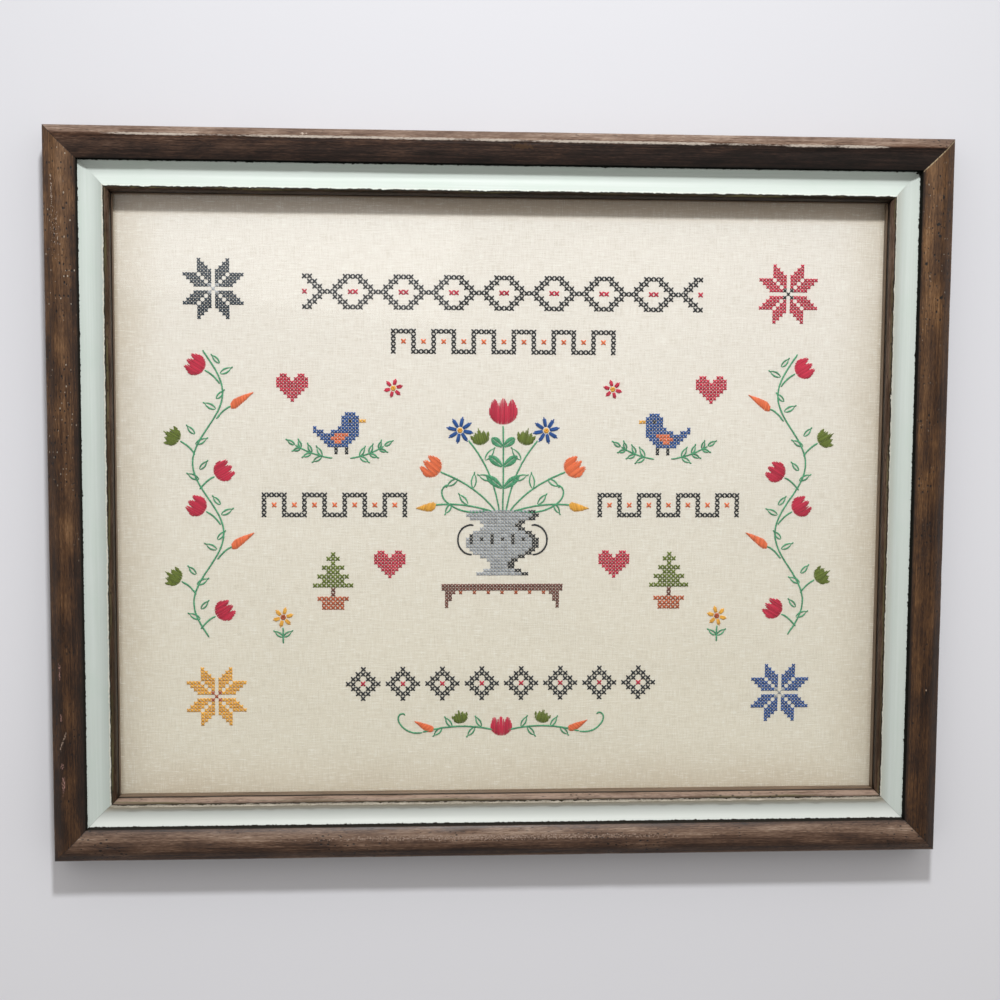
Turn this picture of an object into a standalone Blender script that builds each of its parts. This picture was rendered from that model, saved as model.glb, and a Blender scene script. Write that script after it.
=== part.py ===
"""A framed needlework, lying on its back with its face up.

Four mitred rails of one moulding carry, in the rebate at their back, a glass
pane, the stretched linen and the board behind it. The picture's top is at +Y,
and the origin is in the middle of the back. All sizes are in metres.
"""

import math

import bmesh
import bpy

# Driving dimensions of the frame
FRAME_WIDTH = 0.5330
FRAME_HEIGHT = 0.4312
RAIL_WIDTH = 0.0375
REBATE_WIDTH = 0.0070
REBATE_HEIGHT = 0.0090

# The moulding's raised outer face: how far in from the outer edge, and how high above the back
OUTER_EDGE_HEIGHT = 0.0220
CREST_INSET = 0.0060
CREST_HEIGHT = 0.0260
FACE_BULGE_INSET = 0.0145
FACE_BULGE_HEIGHT = 0.0252
STEP_INSET = 0.0189
STEP_HEIGHT = 0.0223

# The cove inside the step
COVE_START_INSET = 0.0194
COVE_START_HEIGHT = 0.0184
COVE_DIP_INSET = 0.0265
COVE_DIP_HEIGHT = 0.0116
COVE_END_INSET = 0.0339
COVE_END_HEIGHT = 0.0200

# The rounded lip at the sight edge, and the small notch under it
LIP_INSET = 0.0343
LIP_HEIGHT = 0.0204
NOTCH_INSET = 0.0369
NOTCH_HEIGHT = 0.0142
NOTCH_DEPTH = 0.0004

# Small roundings
OUTER_ROUND = 0.0010
CREST_ROUND = 0.0020
STEP_ROUND = 0.0004

# The panels held in the rebate
PIECE_GAP = 0.0003
PANEL_CLEARANCE = 0.0008
GLASS_THICKNESS = 0.0020
LINEN_THICKNESS = 0.0010
BOARD_THICKNESS = 0.0030

# How many straight pieces draw each curve of the moulding
SMALL_CURVE_STEPS = 3
LIP_STEPS = 6
FACE_STEPS = 8
COVE_STEPS = 12

SMOOTH_ANGLE = math.radians(30)

# Colour, roughness and transmission of each material
STAINED_WOOD = ((0.070, 0.038, 0.022, 1.0), 0.42, 0.0)
CLEAR_GLASS = ((0.92, 0.95, 0.94, 1.0), 0.03, 1.0)
CREAM_LINEN = ((0.76, 0.72, 0.62, 1.0), 0.90, 0.0)
GREY_BOARD = ((0.33, 0.28, 0.22, 1.0), 0.85, 0.0)


def clear_scene():
    """Remove every object that the scene holds."""
    for thing in list(bpy.data.objects):
        bpy.data.objects.remove(thing, do_unlink=True)


def new_material(name, finish):
    """A Principled material with one colour, roughness and transmission."""
    colour, roughness, transmission = finish
    material = bpy.data.materials.new(name)
    material.use_nodes = True
    shader = material.node_tree.nodes["Principled BSDF"]
    shader.inputs["Base Color"].default_value = colour
    shader.inputs["Roughness"].default_value = roughness
    shader.inputs["Metallic"].default_value = 0.0
    shader.inputs["Transmission Weight"].default_value = transmission
    return material


def curve_points(start, control, end, steps):
    """The points after start on the parabola that leaves it towards control and reaches end."""
    points = []
    for step in range(1, steps + 1):
        t = step / steps
        weights = ((1 - t) ** 2, 2 * t * (1 - t), t * t)
        corners = (start, control, end)
        inward = sum(weight * corner[0] for weight, corner in zip(weights, corners))
        height = sum(weight * corner[1] for weight, corner in zip(weights, corners))
        points.append((inward, height))
    return points


def raised_face():
    """The section from the back's outer corner, over the crest, to the foot of the step."""
    bevel_slope = (CREST_HEIGHT - OUTER_EDGE_HEIGHT) / CREST_INSET
    side_top = (0.0, OUTER_EDGE_HEIGHT - OUTER_ROUND)
    bevel_start = (OUTER_ROUND, OUTER_EDGE_HEIGHT + OUTER_ROUND * bevel_slope)
    bevel_end = (CREST_INSET - CREST_ROUND, CREST_HEIGHT - CREST_ROUND * bevel_slope)
    crest_end = (CREST_INSET + CREST_ROUND, CREST_HEIGHT)
    crest = (CREST_INSET, CREST_HEIGHT)
    face_end = (STEP_INSET - STEP_ROUND, STEP_HEIGHT + STEP_ROUND / 2)
    step_top = (STEP_INSET, STEP_HEIGHT - STEP_ROUND)

    points = [(0.0, 0.0), side_top]
    points += curve_points(side_top, (0.0, OUTER_EDGE_HEIGHT), bevel_start, SMALL_CURVE_STEPS)
    points.append(bevel_end)
    points += curve_points(bevel_end, crest, crest_end, LIP_STEPS)
    points += curve_points(crest_end, (FACE_BULGE_INSET, FACE_BULGE_HEIGHT), face_end, FACE_STEPS)
    points += curve_points(face_end, (STEP_INSET, STEP_HEIGHT), step_top, SMALL_CURVE_STEPS)
    points.append((STEP_INSET + STEP_ROUND / 2, COVE_START_HEIGHT))
    return points


def cove_and_lip():
    """The section from the cove's outer rim to the foot of the rebate."""
    cove_start = (COVE_START_INSET, COVE_START_HEIGHT)
    cove_end = (COVE_END_INSET, COVE_END_HEIGHT)
    lip_start = (LIP_INSET, LIP_HEIGHT)
    lip_end = (NOTCH_INSET, NOTCH_HEIGHT + NOTCH_DEPTH)
    fillet_height = NOTCH_HEIGHT - 2 * NOTCH_DEPTH
    fillet_start = (NOTCH_INSET, fillet_height)
    fillet_end = (RAIL_WIDTH, fillet_height - 2 * NOTCH_DEPTH)
    ledge = RAIL_WIDTH - REBATE_WIDTH

    points = [cove_start]
    points += curve_points(cove_start, (COVE_DIP_INSET, COVE_DIP_HEIGHT), cove_end, COVE_STEPS)
    points.append(lip_start)
    points += curve_points(lip_start, (NOTCH_INSET, LIP_HEIGHT), lip_end, LIP_STEPS)
    points.append((NOTCH_INSET - NOTCH_DEPTH, NOTCH_HEIGHT))
    points.append(fillet_start)
    points += curve_points(fillet_start, (RAIL_WIDTH, fillet_height), fillet_end, SMALL_CURVE_STEPS)
    points += [(RAIL_WIDTH, REBATE_HEIGHT), (ledge, REBATE_HEIGHT), (ledge, 0.0)]
    return points


def add_rail(name, outer_length, place, turn, collection, holder):
    """A length of the moulding with both ends mitred.

    Its outer edge lies along local X, and its section runs inward along local Y.
    """
    half_length = outer_length / 2 - PIECE_GAP / math.sqrt(2)
    shape = bmesh.new()
    near_end = []
    for inward, height in raised_face() + cove_and_lip():
        near_end.append(shape.verts.new((0.0, inward, height)))
    section = shape.faces.new(near_end)
    swept = bmesh.ops.extrude_face_region(shape, geom=[section])
    far_end = [item for item in swept["geom"] if isinstance(item, bmesh.types.BMVert)]
    for vertex in near_end:
        vertex.co.x = vertex.co.y - half_length
    for vertex in far_end:
        vertex.co.x = half_length - vertex.co.y
    bmesh.ops.recalc_face_normals(shape, faces=shape.faces)

    mesh = bpy.data.meshes.new(name)
    shape.to_mesh(mesh)
    shape.free()
    mesh.shade_smooth()
    mesh.set_sharp_from_angle(angle=SMOOTH_ANGLE)
    mesh.materials.append(new_material(name + "_stain", STAINED_WOOD))
    rail = bpy.data.objects.new(name, mesh)
    rail.location = place
    rail.rotation_euler = (0.0, 0.0, turn)
    rail.parent = holder
    collection.objects.link(rail)


def add_panel(name, underside, thickness, finish, collection, holder):
    """A flat rectangular sheet that lies in the rebate."""
    margins = 2 * (RAIL_WIDTH - REBATE_WIDTH + PANEL_CLEARANCE)
    bpy.ops.mesh.primitive_plane_add(size=1.0, location=(0.0, 0.0, underside))
    panel = bpy.context.object
    panel.name = name
    panel.data.name = name
    panel.scale = (FRAME_WIDTH - margins, FRAME_HEIGHT - margins, 1.0)
    bpy.ops.object.transform_apply(location=False, rotation=False, scale=True)
    solidify = panel.modifiers.new("thickness", "SOLIDIFY")
    solidify.thickness = thickness
    solidify.offset = 1.0
    panel.data.materials.append(new_material(name + "_finish", finish))
    panel.parent = holder
    for owner in list(panel.users_collection):
        owner.objects.unlink(panel)
    collection.objects.link(panel)


def build():
    """Make the four rails and the three panels between them."""
    clear_scene()
    collection = bpy.data.collections.new("framed_needlework")
    bpy.context.scene.collection.children.link(collection)
    holder = bpy.data.objects.new("framed_needlework", None)
    collection.objects.link(holder)

    half_width = FRAME_WIDTH / 2
    half_height = FRAME_HEIGHT / 2
    quarter_turn = math.pi / 2
    add_rail("rail_bottom", FRAME_WIDTH, (0.0, -half_height, 0.0), 0.0, collection, holder)
    add_rail("rail_top", FRAME_WIDTH, (0.0, half_height, 0.0), math.pi, collection, holder)
    add_rail("rail_left", FRAME_HEIGHT, (-half_width, 0.0, 0.0), -quarter_turn, collection, holder)
    add_rail("rail_right", FRAME_HEIGHT, (half_width, 0.0, 0.0), quarter_turn, collection, holder)

    glass_underside = REBATE_HEIGHT - PIECE_GAP - GLASS_THICKNESS
    linen_underside = glass_underside - PIECE_GAP - LINEN_THICKNESS
    board_underside = linen_underside - PIECE_GAP - BOARD_THICKNESS
    add_panel("glass_pane", glass_underside, GLASS_THICKNESS, CLEAR_GLASS, collection, holder)
    add_panel("linen_panel", linen_underside, LINEN_THICKNESS, CREAM_LINEN, collection, holder)
    add_panel("backing_board", board_underside, BOARD_THICKNESS, GREY_BOARD, collection, holder)


build()
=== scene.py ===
"""The looks of the framed needlework: finishes, stitches, lights and camera.

All sizes are in metres, except the stitched design, which is drawn in millimetres
from the middle of the sight opening. The picture lies on its back, with its top at +Y.
"""

import math
import random

import bpy
import numpy as np
from mathutils import Euler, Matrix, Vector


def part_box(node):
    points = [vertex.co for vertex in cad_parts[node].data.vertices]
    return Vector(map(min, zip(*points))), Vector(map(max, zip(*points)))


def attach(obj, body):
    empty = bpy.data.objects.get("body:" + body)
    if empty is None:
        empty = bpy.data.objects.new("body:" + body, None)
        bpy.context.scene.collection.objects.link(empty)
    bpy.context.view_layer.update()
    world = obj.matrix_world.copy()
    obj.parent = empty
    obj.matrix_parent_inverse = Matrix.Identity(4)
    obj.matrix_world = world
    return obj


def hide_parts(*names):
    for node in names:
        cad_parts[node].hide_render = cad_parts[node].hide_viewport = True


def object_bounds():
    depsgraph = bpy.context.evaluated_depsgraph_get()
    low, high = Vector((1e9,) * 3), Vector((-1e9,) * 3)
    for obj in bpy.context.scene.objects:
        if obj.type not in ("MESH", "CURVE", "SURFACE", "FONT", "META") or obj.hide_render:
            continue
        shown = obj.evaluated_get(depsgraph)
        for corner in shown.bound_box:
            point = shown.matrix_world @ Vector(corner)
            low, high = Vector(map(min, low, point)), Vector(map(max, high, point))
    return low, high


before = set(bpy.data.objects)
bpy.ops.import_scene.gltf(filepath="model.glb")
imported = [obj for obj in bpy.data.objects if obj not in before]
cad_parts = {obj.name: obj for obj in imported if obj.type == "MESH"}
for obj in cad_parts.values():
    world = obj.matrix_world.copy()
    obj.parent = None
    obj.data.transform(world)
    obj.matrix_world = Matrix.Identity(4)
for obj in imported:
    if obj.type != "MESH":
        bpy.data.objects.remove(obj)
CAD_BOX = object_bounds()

MM = 0.001
BODY = "root"

# The camera, fitted to the corners of the frame and of its sight opening
CAMERA_PLACE = (-0.0654, 0.0819, 0.9574)
CAMERA_TURN_DEGREES = (-4.990, -3.798, 0.391)
CAMERA_LENS_MM = 57.1
CAMERA_SENSOR_MM = 36.0

# The moulding's section: how far in from the outer edge, and how high above the back
FRAME_LOW, FRAME_HIGH = CAD_BOX
FRAME_WIDTH = FRAME_HIGH.x - FRAME_LOW.x
FRAME_HEIGHT = FRAME_HIGH.y - FRAME_LOW.y
RAIL_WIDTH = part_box("rail_left")[1].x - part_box("rail_left")[0].x
REBATE_WIDTH = 7.0 * MM
REBATE_HEIGHT = 9.0 * MM
OUTER_EDGE_HEIGHT = 22.0 * MM
CREST_INSET = 6.0 * MM
CREST_HEIGHT = 26.0 * MM
FACE_BULGE = (14.5 * MM, 25.2 * MM)
STEP_INSET = 18.9 * MM
STEP_HEIGHT = 22.3 * MM
COVE_START = (19.4 * MM, 18.4 * MM)
COVE_DIP = (26.5 * MM, 11.6 * MM)
COVE_END = (33.9 * MM, 20.0 * MM)
LIP_START = (34.3 * MM, 20.4 * MM)
NOTCH_INSET = 36.9 * MM
NOTCH_HEIGHT = 14.2 * MM
NOTCH_DEPTH = 0.4 * MM
OUTER_ROUND = 1.0 * MM
CREST_ROUND = 2.0 * MM
STEP_ROUND = 0.4 * MM
MITRE_GAP = 0.01 * MM

SECTION_STEP = 0.5 * MM
HIDDEN_STEP = 6.0 * MM
RAIL_STEP = 1.8 * MM
SHARP_CORNER = math.radians(50)

# The moulding's small unevenness, and the ridge and the bead that the brush left in the paint
UNEVENNESS = 0.05 * MM
PAINT_RIDGE = 0.10 * MM
PAINT_BEAD = 0.55 * MM
DENT_COUNT = 46

# The linen, in the lower part of its own solid, so that the stitches have room under the pane
LINEN_LOW, LINEN_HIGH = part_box("linen_panel")
LINEN_UNDERSIDE = LINEN_LOW.z + 0.05 * MM
LINEN_FACE = LINEN_LOW.z + 0.35 * MM
LINEN_GRID = 3.2 * MM
LINEN_RIPPLE = 0.03 * MM
PANE_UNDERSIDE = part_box("glass_pane")[0].z
UNDER_PANE = 0.04 * MM

# Stitches, in millimetres
BOLD_PITCH = 3.0
FINE_PITCH = 2.1
BOLD_THREAD = 0.52
FINE_THREAD = 0.47
SATIN_THREAD = 0.42
SATIN_PITCH = 0.66
STEM_THREAD = 0.48
STEM_STITCH = 3.4
LEAF_THREAD = 0.46
FLATNESS = 0.48
STRAND_SIDES = 6
STRAND_RINGS = (0.0, 0.07, 0.24, 0.5, 0.76, 0.93, 1.0)
DIVE = 0.22
NEEDLE_SHAKE = 0.05
CROSSING = 0.34

# Thread colours, in linear light
THREADS = {
    "charcoal": (0.016, 0.019, 0.025),
    "navy": (0.016, 0.033, 0.055),
    "grey": (0.40, 0.42, 0.46),
    "crimson": (0.56, 0.018, 0.060),
    "coral": (0.86, 0.17, 0.060),
    "olive": (0.130, 0.175, 0.018),
    "leaf_green": (0.075, 0.330, 0.170),
    "royal_blue": (0.008, 0.075, 0.300),
    "brown": (0.175, 0.060, 0.045),
    "rust": (0.46, 0.095, 0.030),
    "gold": (0.86, 0.40, 0.050),
}


# Meshes from arrays

def new_mesh_object(name, points, faces, uv=None, values=None):
    """A smooth object from points and sets of faces; uv holds a pair for each face corner."""
    mesh = bpy.data.meshes.new(name)
    corners = np.concatenate([np.asarray(face_set).ravel() for face_set in faces])
    sizes = np.concatenate([np.full(len(face_set), np.shape(face_set)[1]) for face_set in faces])
    starts = np.concatenate([[0], np.cumsum(sizes)[:-1]])
    mesh.vertices.add(len(points))
    mesh.vertices.foreach_set("co", np.asarray(points, dtype=np.float32).ravel())
    mesh.loops.add(len(corners))
    mesh.loops.foreach_set("vertex_index", corners.astype(np.int32))
    mesh.polygons.add(len(sizes))
    mesh.polygons.foreach_set("loop_start", starts.astype(np.int32))
    mesh.polygons.foreach_set("loop_total", sizes.astype(np.int32))
    mesh.polygons.foreach_set("use_smooth", np.full(len(sizes), True))
    mesh.update(calc_edges=True)
    if uv is not None:
        layer = mesh.uv_layers.new(name="surface")
        layer.data.foreach_set("uv", np.asarray(uv, dtype=np.float32).ravel())
    for label, numbers in (values or {}).items():
        attribute = mesh.attributes.new(label, "FLOAT", "POINT")
        attribute.data.foreach_set("value", np.asarray(numbers, dtype=np.float32).ravel())
    piece = bpy.data.objects.new(name, mesh)
    bpy.context.scene.collection.objects.link(piece)
    return piece


def waves(u, v, seed, lengths, count=9):
    """Smooth noise of about unit size: sine waves of about the given lengths along u and v."""
    dice = np.random.RandomState(seed)
    total = np.zeros(np.broadcast(u, v).shape)
    for _ in range(count):
        rate_u = dice.normal(0.0, 1.0) * 2 * math.pi / lengths[0]
        rate_v = dice.normal(0.0, 1.0) * 2 * math.pi / lengths[1]
        total += np.sin(u * rate_u + v * rate_v + dice.uniform(0, 2 * math.pi))
    return total / math.sqrt(count)


def hill(values, middle, width):
    """1 where values are at middle, falling smoothly to near 0 at twice the width from it."""
    return np.exp(-((values - middle) / width) ** 2)


# Helpers for materials

def node_adder(tree):
    """A helper that adds a node to a tree and sets or links its inputs."""
    def add(kind, inputs=None, **settings):
        node = tree.nodes.new(kind)
        for label, value in settings.items():
            setattr(node, label, value)
        for label, value in (inputs or {}).items():
            if isinstance(value, bpy.types.NodeSocket):
                tree.links.new(value, node.inputs[label])
            else:
                node.inputs[label].default_value = value
        return node

    return add


def new_finish(name):
    """A new material with a Principled shader, and a helper that adds nodes to it."""
    material = bpy.data.materials.new(name)
    material.use_nodes = True
    return material, node_adder(material.node_tree)


def maths(add, operation, first, second=0.0, third=0.0):
    """The output of a Math node."""
    return add("ShaderNodeMath", {0: first, 1: second, 2: third}, operation=operation).outputs[0]


def product(add, first, second):
    """Two numbers multiplied."""
    return maths(add, "MULTIPLY", first, second)


def varied(add, value, amount, base):
    """base, raised or lowered by amount times what value is above or below one half."""
    return maths(add, "MULTIPLY_ADD", maths(add, "SUBTRACT", value, 0.5), amount, base)


def point_values(add, *names):
    """The numbers that the mesh holds at its points under each name."""
    return [add("ShaderNodeAttribute", attribute_name=name).outputs["Fac"] for name in names]


def stretch(add, value, low, high, to_low=0.0, to_high=1.0):
    """value between low and high, spread smoothly over to_low to to_high."""
    inputs = {"Value": value, "From Min": low, "From Max": high, "To Min": to_low, "To Max": to_high}
    return add("ShaderNodeMapRange", inputs, interpolation_type="SMOOTHSTEP").outputs["Result"]


def below(add, value, low, high):
    """1 where value is under low, falling smoothly to 0 at high."""
    return stretch(add, value, low, high, 1.0, 0.0)


def between(add, value, rise, fall, falling=None):
    """1 past the two values of rise and before the two of fall, with soft ends, and 0 elsewhere."""
    return product(add, stretch(add, value, *rise), below(add, value if falling is None else falling, *fall))


def blend_colours(add, factor, first, second):
    """Two colours mixed by factor."""
    node = add("ShaderNodeMix", data_type="RGBA")
    tree = node.id_data
    for socket, value in zip((node.inputs[0], node.inputs[6], node.inputs[7]), (factor, first, second)):
        if isinstance(value, bpy.types.NodeSocket):
            tree.links.new(value, socket)
        elif isinstance(value, tuple):
            socket.default_value = (*value, 1.0)
        else:
            socket.default_value = value
    return node.outputs[2]


def layered(add, colour, *layers):
    """A colour with others laid over it in turn, each by its own factor."""
    for factor, over in layers:
        colour = blend_colours(add, factor, colour, over)
    return colour


def finish(add, material, links, relief, strength, depth, **numbers):
    """Link what varies over the surface, set what doesn't, and add a fine relief."""
    tree = material.node_tree
    shader = tree.nodes["Principled BSDF"]
    bump = add("ShaderNodeBump", {"Height": relief, "Strength": strength, "Distance": depth})
    for label, socket in {**links, "Normal": bump.outputs[0]}.items():
        tree.links.new(socket, shader.inputs[label])
    for label, number in numbers.items():
        shader.inputs[label.replace("_", " ")].default_value = number
    return material


def blend_values(add, factor, first, second):
    """Two numbers mixed by factor."""
    return add("ShaderNodeMix", {0: factor, 2: first, 3: second}, data_type="FLOAT").outputs[0]


def noise(add, vector, scale, detail=3.0, roughness=0.5):
    """The value of a Noise texture."""
    inputs = {"Vector": vector, "Scale": scale, "Detail": detail, "Roughness": roughness}
    return add("ShaderNodeTexNoise", inputs).outputs["Fac"]


def scaled(add, vector, amounts):
    """vector times amounts."""
    return add("ShaderNodeVectorMath", {0: vector, 1: amounts}, operation="MULTIPLY").outputs[0]


def moved(add, vector, amounts):
    """vector plus amounts."""
    return add("ShaderNodeVectorMath", {0: vector, 1: amounts}, operation="ADD").outputs[0]


def grain(add, vector, rates, detail=3.0, roughness=0.6):
    """Noise with its own rate along and across the surface."""
    return noise(add, scaled(add, vector, (*rates, 1)), 1.0, detail, roughness)


def colour_ramp(add, value, stops):
    """A colour for value, from (place, colour) stops."""
    ramp = add("ShaderNodeValToRGB", {0: value})
    elements = ramp.color_ramp.elements
    elements.remove(elements[1])
    elements[0].position, elements[0].color = stops[0][0], (*stops[0][1], 1)
    for place, colour in stops[1:]:
        elements.new(place).color = (*colour, 1)
    return ramp.outputs[0]


def specks(add, surface, pitch, radius, share, seed):
    """Scattered specks of uneven size and outline: 1 on them, 0 elsewhere, in about a share of the cells."""
    shifted = moved(add, surface, (seed, seed * 0.37, 0))
    cells = add("ShaderNodeTexVoronoi", {"Vector": shifted, "Scale": 1 / pitch}, voronoi_dimensions="2D")
    picks = add("ShaderNodeSeparateXYZ", {0: cells.outputs["Color"]})
    uneven = maths(add, "ADD", noise(add, shifted, 1.6 / radius, 2.0, 0.6), picks.outputs[1])
    distance = maths(add, "DIVIDE", cells.outputs["Distance"], uneven)
    near = below(add, distance, radius / pitch * 0.6, radius / pitch * 1.1)
    chosen = maths(add, "LESS_THAN", picks.outputs[0], share)
    return product(add, near, chosen)


def mark(add, surface, ragged, place, reach, degrees=0.0):
    """An oval mark with a ragged rim: 1 inside it and 0 outside."""
    about = moved(add, surface, (-place[0], -place[1], 0))
    turned = add("ShaderNodeVectorRotate", {"Vector": about, "Angle": math.radians(degrees)},
                 rotation_type="Z_AXIS").outputs[0]
    unit = scaled(add, turned, (1 / reach[0], 1 / reach[1], 1))
    distance = add("ShaderNodeVectorMath", {0: unit}, operation="LENGTH").outputs["Value"]
    return below(add, maths(add, "ADD", distance, ragged), 0.8, 1.2)


# The moulding

def arc_lengths(points):
    """How far along a polyline each of its points is."""
    steps = np.hypot(*np.diff(np.asarray(points), axis=0).T)
    return np.concatenate([[0.0], np.cumsum(steps)])


def parabola(start, control, end, step):
    """Points after start on the parabola that leaves it towards control and reaches end."""
    start, control, end = (np.array(corner) for corner in (start, control, end))
    length = np.linalg.norm(control - start) + np.linalg.norm(end - control)
    t = np.linspace(0, 1, max(4, int(length / step) + 1))[1:, None]
    return [tuple(point) for point in (1 - t) ** 2 * start + 2 * t * (1 - t) * control + t * t * end]


def straight(start, end, step):
    """Evenly spaced points after start, up to end."""
    start, end = np.array(start), np.array(end)
    count = max(1, int(round(np.linalg.norm(end - start) / step)))
    return [tuple(start + (end - start) * i / count) for i in range(1, count + 1)]


def moulding_section():
    """The section's points, and the distances along it where its parts begin."""
    slope = (CREST_HEIGHT - OUTER_EDGE_HEIGHT) / CREST_INSET
    side_top = (0.0, OUTER_EDGE_HEIGHT - OUTER_ROUND)
    bevel_start = (OUTER_ROUND, OUTER_EDGE_HEIGHT + OUTER_ROUND * slope)
    bevel_end = (CREST_INSET - CREST_ROUND, CREST_HEIGHT - CREST_ROUND * slope)
    crest_end = (CREST_INSET + CREST_ROUND, CREST_HEIGHT)
    face_end = (STEP_INSET - STEP_ROUND, STEP_HEIGHT + STEP_ROUND / 2)
    step_top = (STEP_INSET, STEP_HEIGHT - STEP_ROUND)
    step_foot = (STEP_INSET + STEP_ROUND / 2, COVE_START[1])
    lip_end = (NOTCH_INSET, NOTCH_HEIGHT + NOTCH_DEPTH)
    fillet_height = NOTCH_HEIGHT - 2 * NOTCH_DEPTH
    fillet_end = (RAIL_WIDTH, fillet_height - 2 * NOTCH_DEPTH)
    ledge = RAIL_WIDTH - REBATE_WIDTH

    marks = {}
    points = [(0.0, 0.0)]
    points += straight(points[-1], side_top, 3 * MM)
    marks["edge"] = len(points) - 1
    points += parabola(side_top, (0.0, OUTER_EDGE_HEIGHT), bevel_start, SECTION_STEP)
    points += straight(bevel_start, bevel_end, SECTION_STEP)
    points += parabola(bevel_end, (CREST_INSET, CREST_HEIGHT), crest_end, SECTION_STEP)
    marks["crest"] = len(points) - 5
    points += parabola(crest_end, FACE_BULGE, face_end, SECTION_STEP)
    points += parabola(face_end, (STEP_INSET, STEP_HEIGHT), step_top, SECTION_STEP / 2)
    marks["step"] = len(points) - 1
    points += straight(step_top, step_foot, SECTION_STEP)
    points += straight(step_foot, COVE_START, SECTION_STEP)
    marks["cove"] = len(points) - 1
    points += parabola(COVE_START, COVE_DIP, COVE_END, SECTION_STEP)
    marks["lip"] = len(points) - 1
    points += straight(COVE_END, LIP_START, SECTION_STEP / 2)
    points += parabola(LIP_START, (NOTCH_INSET, LIP_START[1]), lip_end, SECTION_STEP)
    points += straight(lip_end, (NOTCH_INSET - NOTCH_DEPTH, NOTCH_HEIGHT), SECTION_STEP / 2)
    marks["notch"] = len(points) - 1
    points += straight(points[-1], (NOTCH_INSET, fillet_height), SECTION_STEP / 2)
    points += parabola(points[-1], (RAIL_WIDTH, fillet_height), fillet_end, SECTION_STEP)
    points += straight(fillet_end, (RAIL_WIDTH, REBATE_HEIGHT), SECTION_STEP)
    marks["rebate"] = len(points) - 1
    points += straight(points[-1], (ledge, REBATE_HEIGHT), HIDDEN_STEP)
    points += straight(points[-1], (ledge, 0.0), HIDDEN_STEP)
    points += straight(points[-1], (0.0, 0.0), HIDDEN_STEP)[:-1]
    along = arc_lengths(points)
    return np.array(points), along, {name: along[index] for name, index in marks.items()}


SECTION, SECTION_ALONG, MARKS = moulding_section()


def section_normals():
    """The outward direction at each point of the section."""
    tangent = np.roll(SECTION, -1, axis=0) - np.roll(SECTION, 1, axis=0)
    normal = np.stack([-tangent[:, 1], tangent[:, 0]], axis=1)
    return normal / np.linalg.norm(normal, axis=1)[:, None]


def across_at(inset):
    """The distance along the section of the point of the face that lies inset from the outer edge."""
    shown = slice(0, len(SECTION) // 2)
    return float(np.interp(inset, SECTION[shown, 0], SECTION_ALONG[shown]))


def dents(u, v, seed, count, reach):
    """Small hollows at random places along a rail, each of a random width and depth."""
    dice = np.random.RandomState(seed)
    depth = np.zeros(np.broadcast(u, v).shape)
    for _ in range(count):
        centre_u = dice.uniform(-reach, reach)
        centre_v = dice.uniform(MARKS["edge"], MARKS["step"])
        width = dice.uniform(0.8, 2.4) * MM
        length = width * dice.uniform(1.0, 3.0)
        deep = dice.uniform(0.06, 0.22) * MM
        depth += deep * hill(u, centre_u, length) * hill(v, centre_v, width)
    return depth


# How each rail is stained and painted, and where light and shade are painted on it. Tone is how light the
# stain is, and along its change towards the rail's end. The bevel pair is painted light on the outer bevel,
# lighter where it faces the lamp and darker where it faces away, at the middle and towards the end. Band and
# band_at are a lighter band's strength and its millimetres from the outer edge. Step_dark and step_reach are
# the darkness beside the step and its reach in millimetres. Crest is how strongly the crest is rubbed pale
# and given a painted highlight. Speckled is the share of flecks, at the middle and towards the end. Messy is
# how roughly the cove is painted. Paint_edges are the millimetres by which the paint's outer and inner edges
# are moved. The rim, groove, edge and mitre strengths are those of the creamy rim, of the groove's painted
# shade, of a painted highlight along the outermost edge and of a painted glint along the mitre. The seed is
# also the number of metres by which the rail's grain is shifted, so that no two rails are alike.
RAIL_LOOKS = {
    "bottom": dict(tone=0.48, along=0.02, painted_bevel_light=(-0.06, 0.0), band=0.20, band_at=14.8, step_dark=0.14,
                   step_reach=2.2, warmth=0.42, crest=0.35, speckled=(0.15, 0.0), messy=1.0,
                   paint_edges=(0.40, -2.2), rim=1.0, groove=0.35, painted_edge_light=0.26, painted_mitre_glint=0.0, seed=3),
    "top": dict(tone=0.24, along=0.15, painted_bevel_light=(0.44, -0.15), band=0.05, band_at=9.5, step_dark=0.05,
                step_reach=2.2, warmth=0.30, crest=1.4, speckled=(-0.6, 0.0), messy=0.0,
                paint_edges=(-0.10, 0.0), rim=0.25, groove=1.0, painted_edge_light=0.0, painted_mitre_glint=0.0, seed=5),
    "left": dict(tone=0.38, along=-0.12, painted_bevel_light=(0.0, 0.0), band=0.10, band_at=11.0, step_dark=0.24,
                 step_reach=4.2, warmth=0.90, crest=0.2, speckled=(0.65, -0.55), messy=0.0,
                 paint_edges=(-0.30, -0.75), rim=1.0, groove=0.5, painted_edge_light=0.05, painted_mitre_glint=0.0, seed=7),
    "right": dict(tone=0.40, along=0.10, painted_bevel_light=(-0.06, 0.0), band=0.10, band_at=15.5, step_dark=0.30,
                  step_reach=2.2, warmth=1.0, crest=0.05, speckled=(0.50, 0.30), messy=0.2,
                  paint_edges=(0.15, -0.20), rim=0.8, groove=0.75, painted_edge_light=0.10, painted_mitre_glint=1.0, seed=9),
}

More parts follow.
